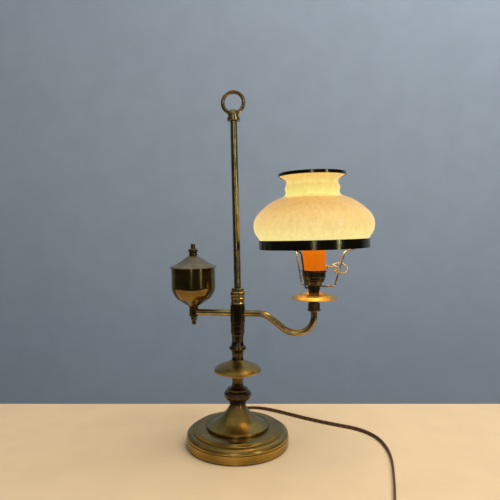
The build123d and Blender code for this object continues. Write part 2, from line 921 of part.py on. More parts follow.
# Distance outwards, distance across (+ away from the viewer) and height of the chain's line:
# level out of the bell mouth, in front of the spider wire, round it and back, then two turns
# of slack bunched on the near side. The wire keeps room inside the loop for the pull.
CHAIN_LINE = [
    (16.6, 0.0, 247.8),
    (22.0, 0.0, 247.4),
    (26.4, -1.6, 246.4),
    (29.6, -5.4, 243.4),
    (34.0, -7.8, 240.4),
    (39.6, -6.6, 239.6),
    (44.6, -2.8, 241.6),
    (46.2, 1.8, 246.0),
    (43.2, 5.6, 250.4),
    (37.2, 7.0, 252.2),
    (31.0, 5.4, 251.6),
    (26.6, 1.4, 250.4),
    (26.2, -3.8, 249.2),
    (30.0, -7.4, 247.4),
    (33.2, -8.8, 244.2),
    (30.4, -8.6, 240.2),
    (27.2, -7.0, 242.6),
]
CHAIN_FRAME = Plane(origin=(BURNER_X, 0, 0), x_dir=CHAIN_WAY, z_dir=(0, 0, 1))

chain_curve = Edge.make_spline([CHAIN_FRAME.from_local_coords(point) for point in CHAIN_LINE])
bead_count = round(chain_curve.length / CHAIN_PITCH) + 1
beads = [chain_curve @ (step / (bead_count - 1)) for step in range(bead_count)]

with BuildPart() as pull_chain:
    for step, middle in enumerate(beads):
        # each bead is turned about a line that lies square to its link
        link = beads[step + 1] - middle if step + 1 < bead_count else middle - beads[step - 1]
        across = Plane(origin=middle, z_dir=link)
        half_bead = Plane(origin=middle, x_dir=across.x_dir, z_dir=across.y_dir)
        with BuildSketch(half_bead) as bead_outline:
            with BuildLine():
                ThreePointArc((0, -CHAIN_BEAD), (CHAIN_BEAD, 0), (0, CHAIN_BEAD))
                Line((0, CHAIN_BEAD), (0, -CHAIN_BEAD))
            make_face()
        revolve(bead_outline.sketch, axis=Axis(middle, half_bead.y_dir))
    for start, end in zip(beads, beads[1:]):
        drill(start, end - start, CHAIN_LINK, (end - start).length, mode=Mode.ADD)
save(pull_chain, "pull_chain")

# ------------------------------------------------------------------------ shade and bulb

# Heights on the shade's axis are measured from the band's lower edge.
with BuildPart() as shade_glass:
    turn_wall(
        SHADE,
        GLASS_WALL,
        (73.9, SHELF_TOP - 1.0),
        (73.9, 8.6),
        (74.0, 11.4),
        (75.1, 14.4),
        (78.5, 19.2),
        (81.2, 25.2),
        (82.1, 31.6),
        (81.2, 38.4),
        (78.2, 45.0),
        (72.9, 51.4),
        (65.6, 58.0),
        (56.6, 64.2),
        (46.8, 68.8),
        (39.4, 71.9),
        (36.8, 75.4),
        (37.0, 79.3),
        (37.7, 82.5),
        (36.5, 86.1),
        (35.2, 89.5),
        (35.8, 92.9),
        (38.9, 96.3),
        (45.2, 99.7),
        samples=72,
    )
    # the foot is ground flat, and stands on the band's shelf
    glass_foot = SHELF_TOP + 0.1
    turn(SHADE, (60, 0), (80, 0), (80, glass_foot), (60, glass_foot), mode=Mode.SUBTRACT)
save(shade_glass, "shade_glass")

with BuildPart() as shade_rim:
    turn(
        SHADE,
        (45.5, 98.5),
        (46.4, 98.5, 0.3),
        (46.4, 103.0, 0.6),
        (42.8, 103.5, 0.3),
        (42.6, 102.7),
        (45.5, 102.4),
    )
save(shade_rim, "shade_rim")

BULB_TOP = 339.0

with BuildPart() as bulb_contact:
    turn(BURNER, (0, 248.6), (2.8, 248.6, 0.4), (4.1, 249.6), (4.1, 251.6), (0, 251.6))
save(bulb_contact, "bulb_contact")

with BuildPart() as bulb_base:
    turn(
        BURNER,
        (4.2, 250.4),
        (9.4, 251.4, 1.0),
        (13.0, 254.4, 1.0),
        (13.0, 273.0),
        (12.45, 273.0),
        (12.45, 254.8, 1.0),
        (9.1, 252.0, 1.0),
        (4.2, 251.0),
    )
save(bulb_base, "bulb_base")

with BuildPart() as bulb_glass:
    turn_wall(
        BURNER,
        BULB_WALL,
        (12.3, 266.0),
        (12.3, 274.0),
        (13.6, 282.0),
        (17.6, 293.0),
        (22.0, 304.0),
        (24.0, 315.0),
        (22.0, 326.5),
        (15.4, 334.8),
        (7.4, 338.4),
        (0.0, BULB_TOP),
        tangents=[Vector(0, 1), Vector(-1, 0)],
    )
save(bulb_glass, "bulb_glass")

# ------------------------------------------------------------------------ supply cord

with BuildPart() as strain_relief:
    turn(
        CORD_EXIT,
        (CORD_RADIUS + 0.06, 67.0),
        (5.2, 67.0),
        (5.2, 68.7),
        (3.6, 68.7),
        (3.6, 70.8),
        (4.8, 70.8, 0.4),
        (4.8, 72.6, 0.6),
        (3.9, 73.6),
        (3.2, 91.0),
        (CORD_RADIUS + 0.06, 91.0),
    )
save(strain_relief, "strain_relief")

# The cord's way: out of the base, down to the table, behind the column, round to the right
# and forward past the lamp, to where its spare length is coiled.
FLOOR = CORD_RADIUS + 0.1
COIL_FLOOR = TIE_THICKNESS + 0.1 + CORD_RADIUS
coil_x, coil_y = COIL_START
CORD_ROUTE = [
    CORD_WAY * CORD_START + Vector(0, 0, CORD_EXIT_HEIGHT),
    CORD_WAY * 102 + Vector(0, 0, CORD_EXIT_HEIGHT),
    (-20, 121, FLOOR + 1.2),
    (-2, 136, FLOOR),
    (25, 133, FLOOR),
    (58, 117.5, FLOOR),
    (91, 99, FLOOR),
    (130, 82, FLOOR),
    (171, 68, FLOOR),
    (194, 43, FLOOR),
    (204, 9, FLOOR),
    (206, -27, FLOOR),
    (203, -64, FLOOR),
    (199, -101, FLOOR),
    (194, -138, FLOOR),
    (coil_x, -176, COIL_FLOOR),
    (coil_x, coil_y + COIL_LEAD, COIL_FLOOR),
]


def largest_arcs(route):
    """The radius of each corner's arc: 0.45 of the shorter run over the tangent of half the turn."""
    points = [Vector(*point) if isinstance(point, tuple) else point for point in route]
    radii = []
    for before, here, after in zip(points, points[1:], points[2:]):
        shorter = min((here - before).length, (after - here).length)
        turned = (here - before).get_angle(after - here)
        radii.append(0.45 * shorter / tan(radians(turned) / 2))
    return radii


CORD_BENDS = largest_arcs(CORD_ROUTE)
print("cord bends, mm:", [round(radius) for radius in CORD_BENDS])

with BuildPart() as power_cord:
    with BuildLine() as cord_way:
        FilletPolyline(*CORD_ROUTE, radius=CORD_BENDS)
    with BuildSketch(cord_way.line ^ 0):
        Circle(CORD_RADIUS)
    sweep()
save(power_cord, "power_cord")
cord_length = cord_way.wire().length
cord_volume = pi * CORD_RADIUS**2 * cord_length
print(f"cord: {cord_length:.0f} mm long, volume {power_cord.part.volume:.0f} mm3,")
print(f"section times length {cord_volume:.0f} mm3")

# The coil: half turns that spiral inwards on the floor, one that climbs, and half turns that
# spiral out again on top. Each half turn joins two points on the line through the centre.
coil_centre_x = coil_x - COIL_OUTER
coil_crossings = []
for half in range(COIL_HALVES + 1):
    inward = min(half, COIL_INWARD_HALVES)
    outward = max(half - COIL_INWARD_HALVES - 1, 0)
    distance = COIL_OUTER + (outward - inward) * COIL_PITCH / 2
    if half == COIL_INWARD_HALVES + 1:
        distance -= COIL_TUCK
    layer = 0 if half <= COIL_INWARD_HALVES else 1
    side = 1 if half % 2 == 0 else -1
    height = COIL_FLOOR + layer * COIL_PITCH
    coil_crossings.append(Vector(coil_centre_x + side * distance, coil_y, height))

with BuildPart() as cord_coil:
    with BuildLine() as coil_way:
        Line(coil_crossings[0] + Vector(0, COIL_LEAD, 0), coil_crossings[0])
        for half in range(COIL_HALVES):
            near, far = coil_crossings[half], coil_crossings[half + 1]
            bulge = (far - near).length / 2 * (-1 if half % 2 == 0 else 1)
            ThreePointArc(near, (near + far) * 0.5 + Vector(0, bulge, 0), far)
        Line(coil_crossings[-1], coil_crossings[-1] - Vector(0, COIL_TAIL, 0))
    with BuildSketch(coil_way.line ^ 0):
        Circle(CORD_RADIUS)
    sweep()
save(cord_coil, "cord_coil")

coil_wire = coil_way.wire()
coil_points = [coil_wire @ (step / 600) for step in range(601)]
skip = round(6 * CORD_RADIUS / coil_wire.length * 600)
coil_gap = min(
    (coil_points[first] - coil_points[second]).length
    for first in range(601)
    for second in range(first + skip, 601)
)
print(f"coil: {coil_wire.length:.0f} mm long, gap to itself {coil_gap - 2 * CORD_RADIUS:.2f} mm")

tie_sides = [abs(point.X - coil_centre_x) for point in coil_crossings if point.X < coil_centre_x]
tie_low = coil_centre_x - max(tie_sides) - CORD_RADIUS - TIE_GAP
tie_high = coil_centre_x - min(tie_sides) + CORD_RADIUS + TIE_GAP
TIE_HEIGHT = TIE_THICKNESS + 0.2 + 2 * CORD_RADIUS + COIL_PITCH

with BuildPart() as cord_tie:
    tie_middle = ((tie_low + tie_high) / 2, (TIE_THICKNESS + TIE_HEIGHT) / 2)
    tie_width = tie_high - tie_low
    with BuildSketch(Plane.XZ.offset(-coil_y - TIE_WIDTH / 2)):
        with Locations(tie_middle):
            RectangleRounded(
                tie_width + 2 * TIE_THICKNESS, TIE_HEIGHT + TIE_THICKNESS, TIE_THICKNESS + 1
            )
            RectangleRounded(tie_width, TIE_HEIGHT - TIE_THICKNESS, 1, mode=Mode.SUBTRACT)
    extrude(amount=TIE_WIDTH)
save(cord_tie, "cord_tie")

PLUG_WIDTH = 22.0
PLUG_HEIGHT = 16.6
PLUG_LENGTH = 24.0
PLUG_NOSE = 8.0
BLADE_LENGTH = 16.0
plug_start = coil_crossings[-1] - Vector(0, COIL_TAIL, 0)
plug_back = plug_start - Vector(0, PLUG_NOSE, 0)
plug_face = plug_back - Vector(0, PLUG_LENGTH, 0)

with BuildPart() as plug_body:
    with BuildSketch(Plane(origin=plug_start, x_dir=(1, 0, 0), z_dir=(0, -1, 0))):
        Circle(4.6)
    with BuildSketch(Plane(origin=plug_back, x_dir=(1, 0, 0), z_dir=(0, -1, 0))):
        RectangleRounded(PLUG_WIDTH, PLUG_HEIGHT, 5)
    loft()
    with BuildSketch(Plane(origin=plug_back, x_dir=(1, 0, 0), z_dir=(0, -1, 0))):
        RectangleRounded(PLUG_WIDTH, PLUG_HEIGHT, 5)
    extrude(amount=PLUG_LENGTH)
save(plug_body, "plug_body")

with BuildPart() as plug_blades:
    with BuildSketch(Plane(origin=plug_face, x_dir=(1, 0, 0), z_dir=(0, -1, 0))):
        with Locations((-6.35, 0), (6.35, 0)):
            RectangleRounded(1.5, 6.35, 0.4)
    extrude(amount=BLADE_LENGTH)
save(plug_blades, "plug_blades")
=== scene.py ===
from math import cos, pi, radians, sin

import bpy
import numpy as np
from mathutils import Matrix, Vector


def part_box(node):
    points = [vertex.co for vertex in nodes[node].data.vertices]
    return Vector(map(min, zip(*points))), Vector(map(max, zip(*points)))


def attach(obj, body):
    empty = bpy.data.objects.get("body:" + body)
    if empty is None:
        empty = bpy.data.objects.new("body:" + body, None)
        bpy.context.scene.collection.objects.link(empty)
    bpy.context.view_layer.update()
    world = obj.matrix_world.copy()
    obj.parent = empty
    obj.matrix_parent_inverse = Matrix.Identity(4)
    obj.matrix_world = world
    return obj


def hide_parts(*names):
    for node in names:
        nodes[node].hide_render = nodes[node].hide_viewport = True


# Student-style desk lamp: aged brass stand and arm, dummy oil font, lit opal glass shade.
# Metres, +Z up, origin under the middle of the base, +X towards the shade.

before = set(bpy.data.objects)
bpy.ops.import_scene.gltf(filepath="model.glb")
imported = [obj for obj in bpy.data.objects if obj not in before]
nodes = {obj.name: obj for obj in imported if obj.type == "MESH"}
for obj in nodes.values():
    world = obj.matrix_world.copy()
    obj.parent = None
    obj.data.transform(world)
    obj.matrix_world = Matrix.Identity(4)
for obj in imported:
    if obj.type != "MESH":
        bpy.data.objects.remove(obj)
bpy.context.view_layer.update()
scene = bpy.context.scene
scene.view_settings.view_transform = "Standard"

MM = 0.001
TURN = 2 * pi
UP = np.array([0.0, 0.0, 1.0])

# Places shared with the solids.
BURNER_X = 0.106  # axis of the burner and the shade
FONT_X = -0.0629  # axis of the font
BAND_FOOT = 0.273  # lower edge of the shade band
SHADE_LEAN = radians(1.6)

# ------------------------------------------------------------------------ camera

CAMERA_PLACE = (0.1145, -0.6908, 0.298)
CAMERA_TURN = radians(8.0)  # to the left of +Y
CAMERA_SHIFT = -0.04  # moves the lamp up in the picture without tilting the camera

camera_data = bpy.data.cameras.new("camera")
camera_data.sensor_fit = "HORIZONTAL"
camera_data.sensor_width = 36.0
camera_data.lens = 36.0
camera_data.clip_start = 0.01
camera_data.shift_y = CAMERA_SHIFT
camera = bpy.data.objects.new("camera", camera_data)
camera.location = CAMERA_PLACE
camera.rotation_euler = (radians(90), 0, CAMERA_TURN)
scene.collection.objects.link(camera)
scene.camera = camera

# ------------------------------------------------------------------------ mesh helpers


def mesh_piece(name, vertices, faces, uv=None, smooth=True):
    """An object at the origin from an array of points and a list of faces, with an optional
    UV map that has one place for each point."""
    mesh = bpy.data.meshes.new(name)
    mesh.from_pydata(vertices.tolist(), [], faces)
    if uv is not None:
        layer = mesh.uv_layers.new(name="along")
        corners = np.empty(len(mesh.loops), dtype=np.int32)
        mesh.loops.foreach_get("vertex_index", corners)
        layer.data.foreach_set("uv", uv[corners].astype(np.float32).ravel())
    mesh.polygons.foreach_set("use_smooth", np.full(len(mesh.polygons), smooth))
    mesh.update()
    piece = bpy.data.objects.new(name, mesh)
    scene.collection.objects.link(piece)
    return piece


def grid_faces(rows, columns, closed=False):
    """Quads of a grid: row i meets row i + 1, column j meets column j + 1, and the last column
    meets the first. In a closed grid the last row meets the first too."""
    row, column = np.meshgrid(
        np.arange(rows if closed else rows - 1), np.arange(columns), indexing="ij"
    )
    next_row = (row + 1) % rows
    next_column = (column + 1) % columns
    corners = [(row, column), (row, next_column), (next_row, next_column), (next_row, column)]
    quads = np.stack([r * columns + c for r, c in corners], axis=-1)
    return quads.reshape(-1, 4).tolist()


def closed_tube(name, rings):
    """A skin over closed rings of points (ring, corner, xyz), with a fan of triangles at each end.

    The UV map runs along the tube in metres, and once round it."""
    count, sides = rings.shape[:2]
    middles = rings.mean(axis=1)
    vertices = np.concatenate([rings.reshape(-1, 3), middles[:1], middles[-1:]])
    first_middle, last_middle = count * sides, count * sides + 1
    corner = np.arange(sides)
    after = (corner + 1) % sides
    start_fan = np.stack([after, corner, np.full(sides, first_middle)], axis=-1)
    end_ring = (count - 1) * sides
    end_fan = np.stack([end_ring + corner, end_ring + after, np.full(sides, last_middle)], axis=-1)
    faces = grid_faces(count, sides) + start_fan.tolist() + end_fan.tolist()
    steps = np.linalg.norm(np.diff(middles, axis=0), axis=1)
    along = np.concatenate([[0], np.cumsum(steps)])
    uv = np.empty((len(vertices), 2))
    uv[: count * sides, 0] = np.repeat(along, sides)
    uv[: count * sides, 1] = np.tile(corner / sides, count)
    uv[first_middle] = (0, 0.5)
    uv[last_middle] = (along[-1], 0.5)
    return mesh_piece(name, vertices, faces, uv)


def ring_angles(sides):
    """Evenly spaced angles once round, without the last, which would meet the first."""
    return np.arange(sides) / sides * TURN


def rounded_square(angle, power):
    """A square with rounded corners, as (across, up): the cosine and the sine of the angle, each
    raised to a power below 1 with its sign kept."""
    return [np.sign(wave) * np.abs(wave) ** power for wave in (np.cos(angle), np.sin(angle))]


# ------------------------------------------------------------------------ supply cord

CORD_WIDTH = 5.0 * MM
CORD_THICKNESS = 2.5 * MM
CORD_SIDES = 20

# Where the cord leaves the base, by the back of the shell's rim.
EXIT_ANGLE = radians(104.0)
EXIT_HEIGHT = 6.8  # mm
EXIT_WAY = np.array([cos(EXIT_ANGLE), sin(EXIT_ANGLE), 0.0])
EXIT_LIFT = (0, 0, EXIT_HEIGHT)
CORD_START = 64  # mm from the column's axis, inside the shell
CORD_STRAIGHT = 102  # as far out the strain relief keeps it straight

TILTED = 2.5  # height in mm of the flat cord's middle where it leans half over
ON_EDGE = 2.6  # and where it stands on its narrow side

# The cord's way over the table, in mm, from the base to the coil of its spare length.
TABLE_ROUTE = [
    (-20, 121, 3.4),
    (-2, 136, TILTED),
    (25, 133, TILTED),
    (58, 117.5, TILTED),
    (91, 99, TILTED),
    (130, 82, TILTED),
    (171, 68, TILTED),
    (194, 43, ON_EDGE),
    (204, 9, ON_EDGE),
    (206, -27, ON_EDGE),
    (203, -64, ON_EDGE),
    (199, -101, ON_EDGE),
    (194, -138, ON_EDGE),
    (189, -176, ON_EDGE),
    (189, -206, ON_EDGE),
]

# The coil, in mm: turns that shrink on the table, then grow again one layer up.
COIL_CENTRE = (150.6, -212.0)
COIL_OUTER = 38.4
COIL_PITCH = 5.7
COIL_TUCK = 1.9  # how far the first half turn of the upper layer is drawn in
COIL_INWARD = 6  # half turns in the lower layer
COIL_HALVES = 14  # half turns in all
COIL_LOW = 3.3
COIL_LAYER = 5.3
COIL_STEPS = 12  # points in each half turn

# The cord's end, in mm: it drops back beside the coil and enters the plug.
TAIL_DROP = 12
TAIL_LEAD = 10
TAIL_DEPTH = 2


def coil_points():
    """Points of the coil, in mm: an angle that grows steadily, with a distance from the middle
    that shrinks by half the pitch each half turn, jumps a layer up, and grows again."""
    halves = np.arange(COIL_HALVES + 1)
    inward = np.minimum(halves, COIL_INWARD)
    outward = np.maximum(halves - COIL_INWARD - 1, 0)
    distance = COIL_OUTER + (outward - inward) * COIL_PITCH / 2
    distance[COIL_INWARD + 1] -= COIL_TUCK
    height = COIL_LOW + (halves > COIL_INWARD) * COIL_LAYER
    step = np.linspace(0, COIL_HALVES, COIL_HALVES * COIL_STEPS + 1)
    away = np.interp(step, halves, distance)
    angle = step * pi
    x = COIL_CENTRE[0] + away * np.cos(angle)
    y = COIL_CENTRE[1] - away * np.sin(angle)
    return np.stack([x, y, np.interp(step, halves, height)], axis=-1)


plug_low, plug_high = (np.array(corner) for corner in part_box("plug_body"))
plug_middle = (plug_low + plug_high) / 2
coil_way = coil_points()
tail = np.array(
    [
        [coil_way[-1][0], coil_way[-1][1] - TAIL_DROP, coil_way[-1][2]],
        [plug_middle[0] / MM, plug_high[1] / MM + TAIL_LEAD, plug_middle[2] / MM],
        [plug_middle[0] / MM, plug_high[1] / MM - TAIL_DEPTH, plug_middle[2] / MM],
    ]
)
exit_run = [EXIT_WAY * CORD_START + EXIT_LIFT, EXIT_WAY * CORD_STRAIGHT + EXIT_LIFT]
cord_route = np.concatenate([exit_run, TABLE_ROUTE, coil_way, tail]) * MM


def smooth_line(points):
    """A smooth line led by the points, as an array: a quadratic spline that starts at the first
    and ends at the last, with steps of no length taken out."""
    data = bpy.data.curves.new("cord_route", "CURVE")
    data.dimensions = "3D"
    spline = data.splines.new("NURBS")
    spline.points.add(len(points) - 1)
    spline.points.foreach_set("co", np.c_[points, np.ones(len(points))].ravel())
    spline.order_u = 3
    spline.use_endpoint_u = True
    spline.resolution_u = 6
    route = bpy.data.objects.new("cord_route", data)
    scene.collection.objects.link(route)
    bpy.context.view_layer.update()
    mesh = bpy.data.meshes.new_from_object(route)
    line = np.empty(len(mesh.vertices) * 3)
    mesh.vertices.foreach_get("co", line)
    line = line.reshape(-1, 3)
    bpy.data.objects.remove(route)
    bpy.data.meshes.remove(mesh)
    steps = np.linalg.norm(np.diff(line, axis=0), axis=1)
    return line[np.concatenate([[True], steps > 1e-6])]


cord_line = smooth_line(cord_route)
cord_steps = np.linalg.norm(np.diff(cord_line, axis=0), axis=1)
cord_along = np.concatenate([[0], np.cumsum(cord_steps)])


def flat_cord_section():
    """The outline of a cord of two wires side by side, as (across, up) offsets: two circles that
    overlap, so that a shallow groove runs between them."""
    angle = ring_angles(CORD_SIDES)
    across = np.cos(angle) * CORD_WIDTH / 2
    wire = CORD_THICKNESS / 2
    from_wire = np.abs(across) - (CORD_WIDTH / 2 - wire)
    rise = np.sqrt(np.clip(wire**2 - from_wire**2, 0, None))
    return across, np.sign(np.sin(angle)) * rise


def cord_rings(line, twist):
    """Rings of the cord's outline along a line. Each ring lies square to the line, turned by the
    twist from lying flat (0) to standing on its edge (a quarter turn)."""
    ahead = np.gradient(line, axis=0)
    ahead /= np.linalg.norm(ahead, axis=1, keepdims=True)
    side = np.cross(ahead, UP)
    side /= np.linalg.norm(side, axis=1, keepdims=True)
    up = np.cross(side, ahead)
    wide = side * np.cos(twist)[:, None] + up * np.sin(twist)[:, None]
    thin = up * np.cos(twist)[:, None] - side * np.sin(twist)[:, None]
    across, rise = flat_cord_section()
    offset = wide[:, None] * across[None, :, None]
    return line[:, None] + offset + thin[:, None] * rise[None, :, None]


# It leaves the base lying flat, leans half over behind the column, and stands on edge in front.
TWIST_STATIONS = [0.0, 0.05, 0.12, 0.30, 0.40, 3.0]  # metres along the cord
TWIST_DEGREES = [0, 0, 114, 114, 92, 92]
cord_twist = np.radians(np.interp(cord_along, TWIST_STATIONS, TWIST_DEGREES))
cord_piece = closed_tube("supply_cord", cord_rings(cord_line, cord_twist))
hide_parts("power_cord", "cord_coil")
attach(cord_piece, "stand")

# ------------------------------------------------------------------------ strain relief

# In mm along the cord from the column's axis: a flange inside the shell's wall, a neck through
# it, a collar outside, and the ribbed taper.
RELIEF_START = 67.0
FLANGE_END = 68.7
NECK_END = 70.8
COLLAR_END = 73.2
RIBS_START = 74.6
RELIEF_END = 91.0
FLANGE_RADIUS = 5.2
NECK_RADIUS = 3.6
COLLAR_RADIUS = 4.8
TAPER_RADII = (4.5, 3.3)
MOUTH_RADIUS = 3.0
RIB_DEPTH = 0.32
RIB_PITCH = 2.4
RIB_MIDDLE = 75.0  # where the row of ribs rises through its middle
RIB_VALLEY = -0.4  # the valleys are cut off flat at this share of the depth
RELIEF_RINGS = 121
RELIEF_SIDES = 40


def ribbed_sleeve():
    """The strain relief: a collar, then a taper whose radius falls steadily along the cord and
    is notched by a smooth row of ribs."""
    along = np.linspace(RELIEF_START, RELIEF_END, RELIEF_RINGS)
    taper = np.interp(along, [COLLAR_END, RELIEF_END], TAPER_RADII)
    wave = np.sin((along - RIB_MIDDLE) / RIB_PITCH * TURN)
    ribs = RIB_DEPTH * np.clip(wave, RIB_VALLEY, 1)
    radius = np.where(along > RIBS_START, taper - RIB_DEPTH + ribs, taper)
    radius = np.where(along < COLLAR_END, COLLAR_RADIUS, radius)
    radius = np.where((along > FLANGE_END) & (along < NECK_END), NECK_RADIUS, radius)
    radius = np.where(along <= FLANGE_END, FLANGE_RADIUS, radius)
    radius[-1] = MOUTH_RADIUS
    angle = ring_angles(RELIEF_SIDES)
    side = np.cross(EXIT_WAY, UP)
    middle = EXIT_WAY * along[:, None] + EXIT_LIFT
    spoke = side * np.cos(angle)[:, None] + UP * np.sin(angle)[:, None]
    return (middle[:, None] + spoke[None] * radius[:, None, None]) * MM


relief = closed_tube("cord_relief", ribbed_sleeve())
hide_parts("strain_relief")
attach(relief, "stand")

# ------------------------------------------------------------------------ plug and tie

PLUG_RINGS = 80
PLUG_SIDES = 48
PLUG_SQUARENESS = 0.55
# Half sizes in mm, at the cord's end and where the body is full.
PLUG_MOUTH = 4.4
PLUG_HALF_WIDTH = 10.9
PLUG_HALF_HEIGHT = 8.2
PLUG_SWELL = 0.3  # share of the length over which it swells
GRIP_MIDDLE = 0.58  # the grooves, by share of the length
GRIP_REACH = 0.22
GRIP_PITCH = 0.1
GRIP_DEPTH = 0.7
FACE_ROUND = 0.9
FACE_START = 0.965

TIE_STEPS = 96
TIE_ROUNDNESS = 0.35
TIE_THICKNESS = 0.55


def plug_skin():
    """The plug: a rounded-square outline whose width and height swell out of the cord, keep
    level, and close in a little at the face, with finger grooves across its sides."""
    t = np.linspace(0, 1, PLUG_RINGS)
    length = plug_high[1] - plug_low[1]
    swell = np.clip(t / PLUG_SWELL, 0, 1)
    swell = swell * swell * (3 - 2 * swell)
    half_width = (PLUG_MOUTH + (PLUG_HALF_WIDTH - PLUG_MOUTH) * swell) * MM
    half_height = (PLUG_MOUTH + (PLUG_HALF_HEIGHT - PLUG_MOUTH) * swell) * MM
    wave = np.clip(np.cos((t - GRIP_MIDDLE) / GRIP_PITCH * TURN), 0, 1)
    grooves = GRIP_DEPTH * MM * wave**2
    half_width = half_width - np.where(np.abs(t - GRIP_MIDDLE) < GRIP_REACH, grooves, 0)
    edge = np.clip((t - FACE_START) / (1 - FACE_START), 0, 1) ** 2 * FACE_ROUND * MM
    half_width, half_height = half_width - edge, half_height - edge
    across, rise = rounded_square(ring_angles(PLUG_SIDES), PLUG_SQUARENESS)
    x = plug_middle[0] - half_width[:, None] * across[None]
    y = np.repeat((plug_high[1] - t * length)[:, None], PLUG_SIDES, axis=1)
    z = plug_middle[2] + half_height[:, None] * rise[None]
    return np.stack([x, y, z], axis=-1)


plug = closed_tube("plug", plug_skin())
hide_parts("plug_body")
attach(plug, "stand")


def tie_skin():
    """The cord tie: a flat strap, four corners in section, carried round a rounded box that
    encloses the turns."""
    low, high = (np.array(corner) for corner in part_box("cord_tie"))
    middle, half = (low + high) / 2, (high - low) / 2
    turn = np.linspace(0, TURN, TIE_STEPS + 1)[:-1]
    x, z = rounded_square(turn, TIE_ROUNDNESS)
    strap = np.array([[-1, -1], [1, -1], [1, 1], [-1, 1]])
    inset = np.where(strap[:, 1] > 0, 0.0, TIE_THICKNESS) * MM
    px = middle[0] + x[:, None] * (half[0] - inset)[None]
    pz = middle[2] + z[:, None] * (half[2] - inset)[None]
    py = np.repeat((middle[1] + strap[:, 0] * half[1])[None], len(turn), axis=0)
    return np.stack([px, py, pz], axis=-1)


def hoop(name, rings):
    """A skin over rings that close on themselves both ways."""
    count, sides = rings.shape[:2]
    return mesh_piece(name, rings.reshape(-1, 3), grid_faces(count, sides, True), smooth=False)


tie = hoop("cord_strap", tie_skin())
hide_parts("cord_tie")
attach(tie, "stand")

# ------------------------------------------------------------------------ materials

WHITE = (1.0, 1.0, 1.0)


class Finish:
    """A material's node tree, with short calls for the nodes that the finishes share."""

    def __init__(self, name):
        self.material = bpy.data.materials.new(name)
        self.material.use_nodes = True
        self.tree = self.material.node_tree
        self.shader = self.tree.nodes["Principled BSDF"]

    def node(self, kind, **settings):
        made = self.tree.nodes.new(kind)
        for key, value in settings.items():
            setattr(made, key, value)
        return made

    def link(self, source, target):
        self.tree.links.new(source, target)

    def plain(self, **values):
        """Sets the shader's own sockets, by name with _ for a blank."""
        for key, value in values.items():
            self.shader.inputs[key.replace("_", " ")].default_value = value

    def place(self, centre=(0, 0, 0), turn=(0, 0, 0), scale=(1, 1, 1)):
        """Object coordinates, centred on a piece."""
        source = self.node("ShaderNodeTexCoord").outputs["Object"]
        mapping = self.node("ShaderNodeMapping", vector_type="TEXTURE")
        mapping.inputs["Location"].default_value = centre
        mapping.inputs["Rotation"].default_value = turn
        mapping.inputs["Scale"].default_value = scale
        self.link(source, mapping.inputs["Vector"])
        return mapping.outputs["Vector"]

    def parts(self, vector):
        """The three parts of a vector."""
        made = self.node("ShaderNodeSeparateXYZ")
        self.link(vector, made.inputs[0])
        return made.outputs

    def math(self, operation, first, second=None, third=None):
        made = self.node("ShaderNodeMath", operation=operation)
        for socket, value in zip(made.inputs, (first, second, third)):
            if value is None:
                continue
            if isinstance(value, (int, float)):
                socket.default_value = value
            else:
                self.link(value, socket)
        return made.outputs[0]

    def mixed(self, first, share, second):
        """The first by its share, and the second by the rest."""
        rest = self.math("MULTIPLY", second, round(1 - share, 3))
        return self.math("ADD", self.math("MULTIPLY", first, share), rest)

    def noise(self, vector, scale, detail=3.0, roughness=0.5):
        made = self.node("ShaderNodeTexNoise")
        made.inputs["Scale"].default_value = scale
        made.inputs["Detail"].default_value = detail
        made.inputs["Roughness"].default_value = roughness
        self.link(vector, made.inputs["Vector"])
        return made.outputs["Fac"]

    def ramp(self, factor, *stops):
        """A colour ramp with (position, colour) stops."""
        made = self.node("ShaderNodeValToRGB")
        elements = made.color_ramp.elements
        while len(elements) < len(stops):
            elements.new(0.5)
        for element, (position, colour) in zip(elements, stops):
            element.position = position
            element.color = (*colour, 1.0)
        self.link(factor, made.inputs["Fac"])
        return made.outputs["Color"]

    def times(self, first, second):
        """Two colours multiplied."""
        made = self.node("ShaderNodeMix", data_type="RGBA", blend_type="MULTIPLY")
        sockets = {(s.name, s.type): s for s in made.inputs}
        sockets["Factor", "VALUE"].default_value = 1.0
        self.link(first, sockets["A", "RGBA"])
        self.link(second, sockets["B", "RGBA"])
        return next(s for s in made.outputs if s.type == "RGBA")

    def bump(self, height, strength, distance=0.0003):
        made = self.node("ShaderNodeBump")
        made.inputs["Strength"].default_value = strength
        made.inputs["Distance"].default_value = distance
        self.link(height, made.inputs["Height"])
        self.link(made.outputs["Normal"], self.shader.inputs["Normal"])

    def colour(self, source):
        self.link(source, self.shader.inputs["Base Color"])

    def glow(self, source):
        self.link(source, self.shader.inputs["Emission Color"])

    def rough(self, factor, low, high):
        """Roughness that runs from low to high with a factor."""
        span = round(high - low, 3)
        self.link(self.math("MULTIPLY_ADD", factor, span, low), self.shader.inputs["Roughness"])


def ring_coordinates(finish, place):
    """(distance from the axis, 0, height): the same all round a turned piece."""
    x, y, z = finish.parts(place)
    squares = finish.math("ADD", finish.math("MULTIPLY", x, x), finish.math("MULTIPLY", y, y))
    joined = finish.node("ShaderNodeCombineXYZ")
    finish.link(finish.math("SQRT", squares), joined.inputs[0])
    finish.link(z, joined.inputs[2])
    return joined.outputs[0]


GROOVE_SHADE = 0.75  # how dark the painted shade in the brass's grooves is
GROOVE_WIDTH = 0.0035


